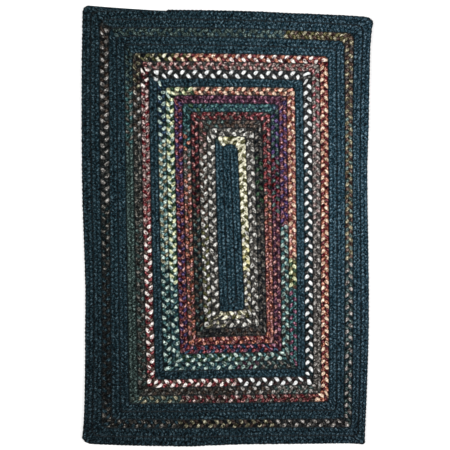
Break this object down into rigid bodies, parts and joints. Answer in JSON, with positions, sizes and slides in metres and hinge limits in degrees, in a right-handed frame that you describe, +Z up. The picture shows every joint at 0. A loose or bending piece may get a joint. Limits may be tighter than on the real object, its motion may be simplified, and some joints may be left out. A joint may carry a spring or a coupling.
{
  "type": "braided rug",
  "caption": "Rectangular floor rug of one long flat yarn braid, wound outwards in a squared spiral and laced edge to edge, in bands of mixed colours.",
  "frame": {"origin": "on the floor, under the middle of the rug's bounding box", "axes": "+X across the rug, +Y along it towards the edge where the braid ends, +Z up from the floor"},
  "size_m": [0.6176, 0.932, 0.0095],
  "materials": {
    "braided_yarn": "matt wool blend yarn"
  },
  "bodies": {
    "root": {"braided_rug": "braided_yarn"}
  },
  "joints": []
}
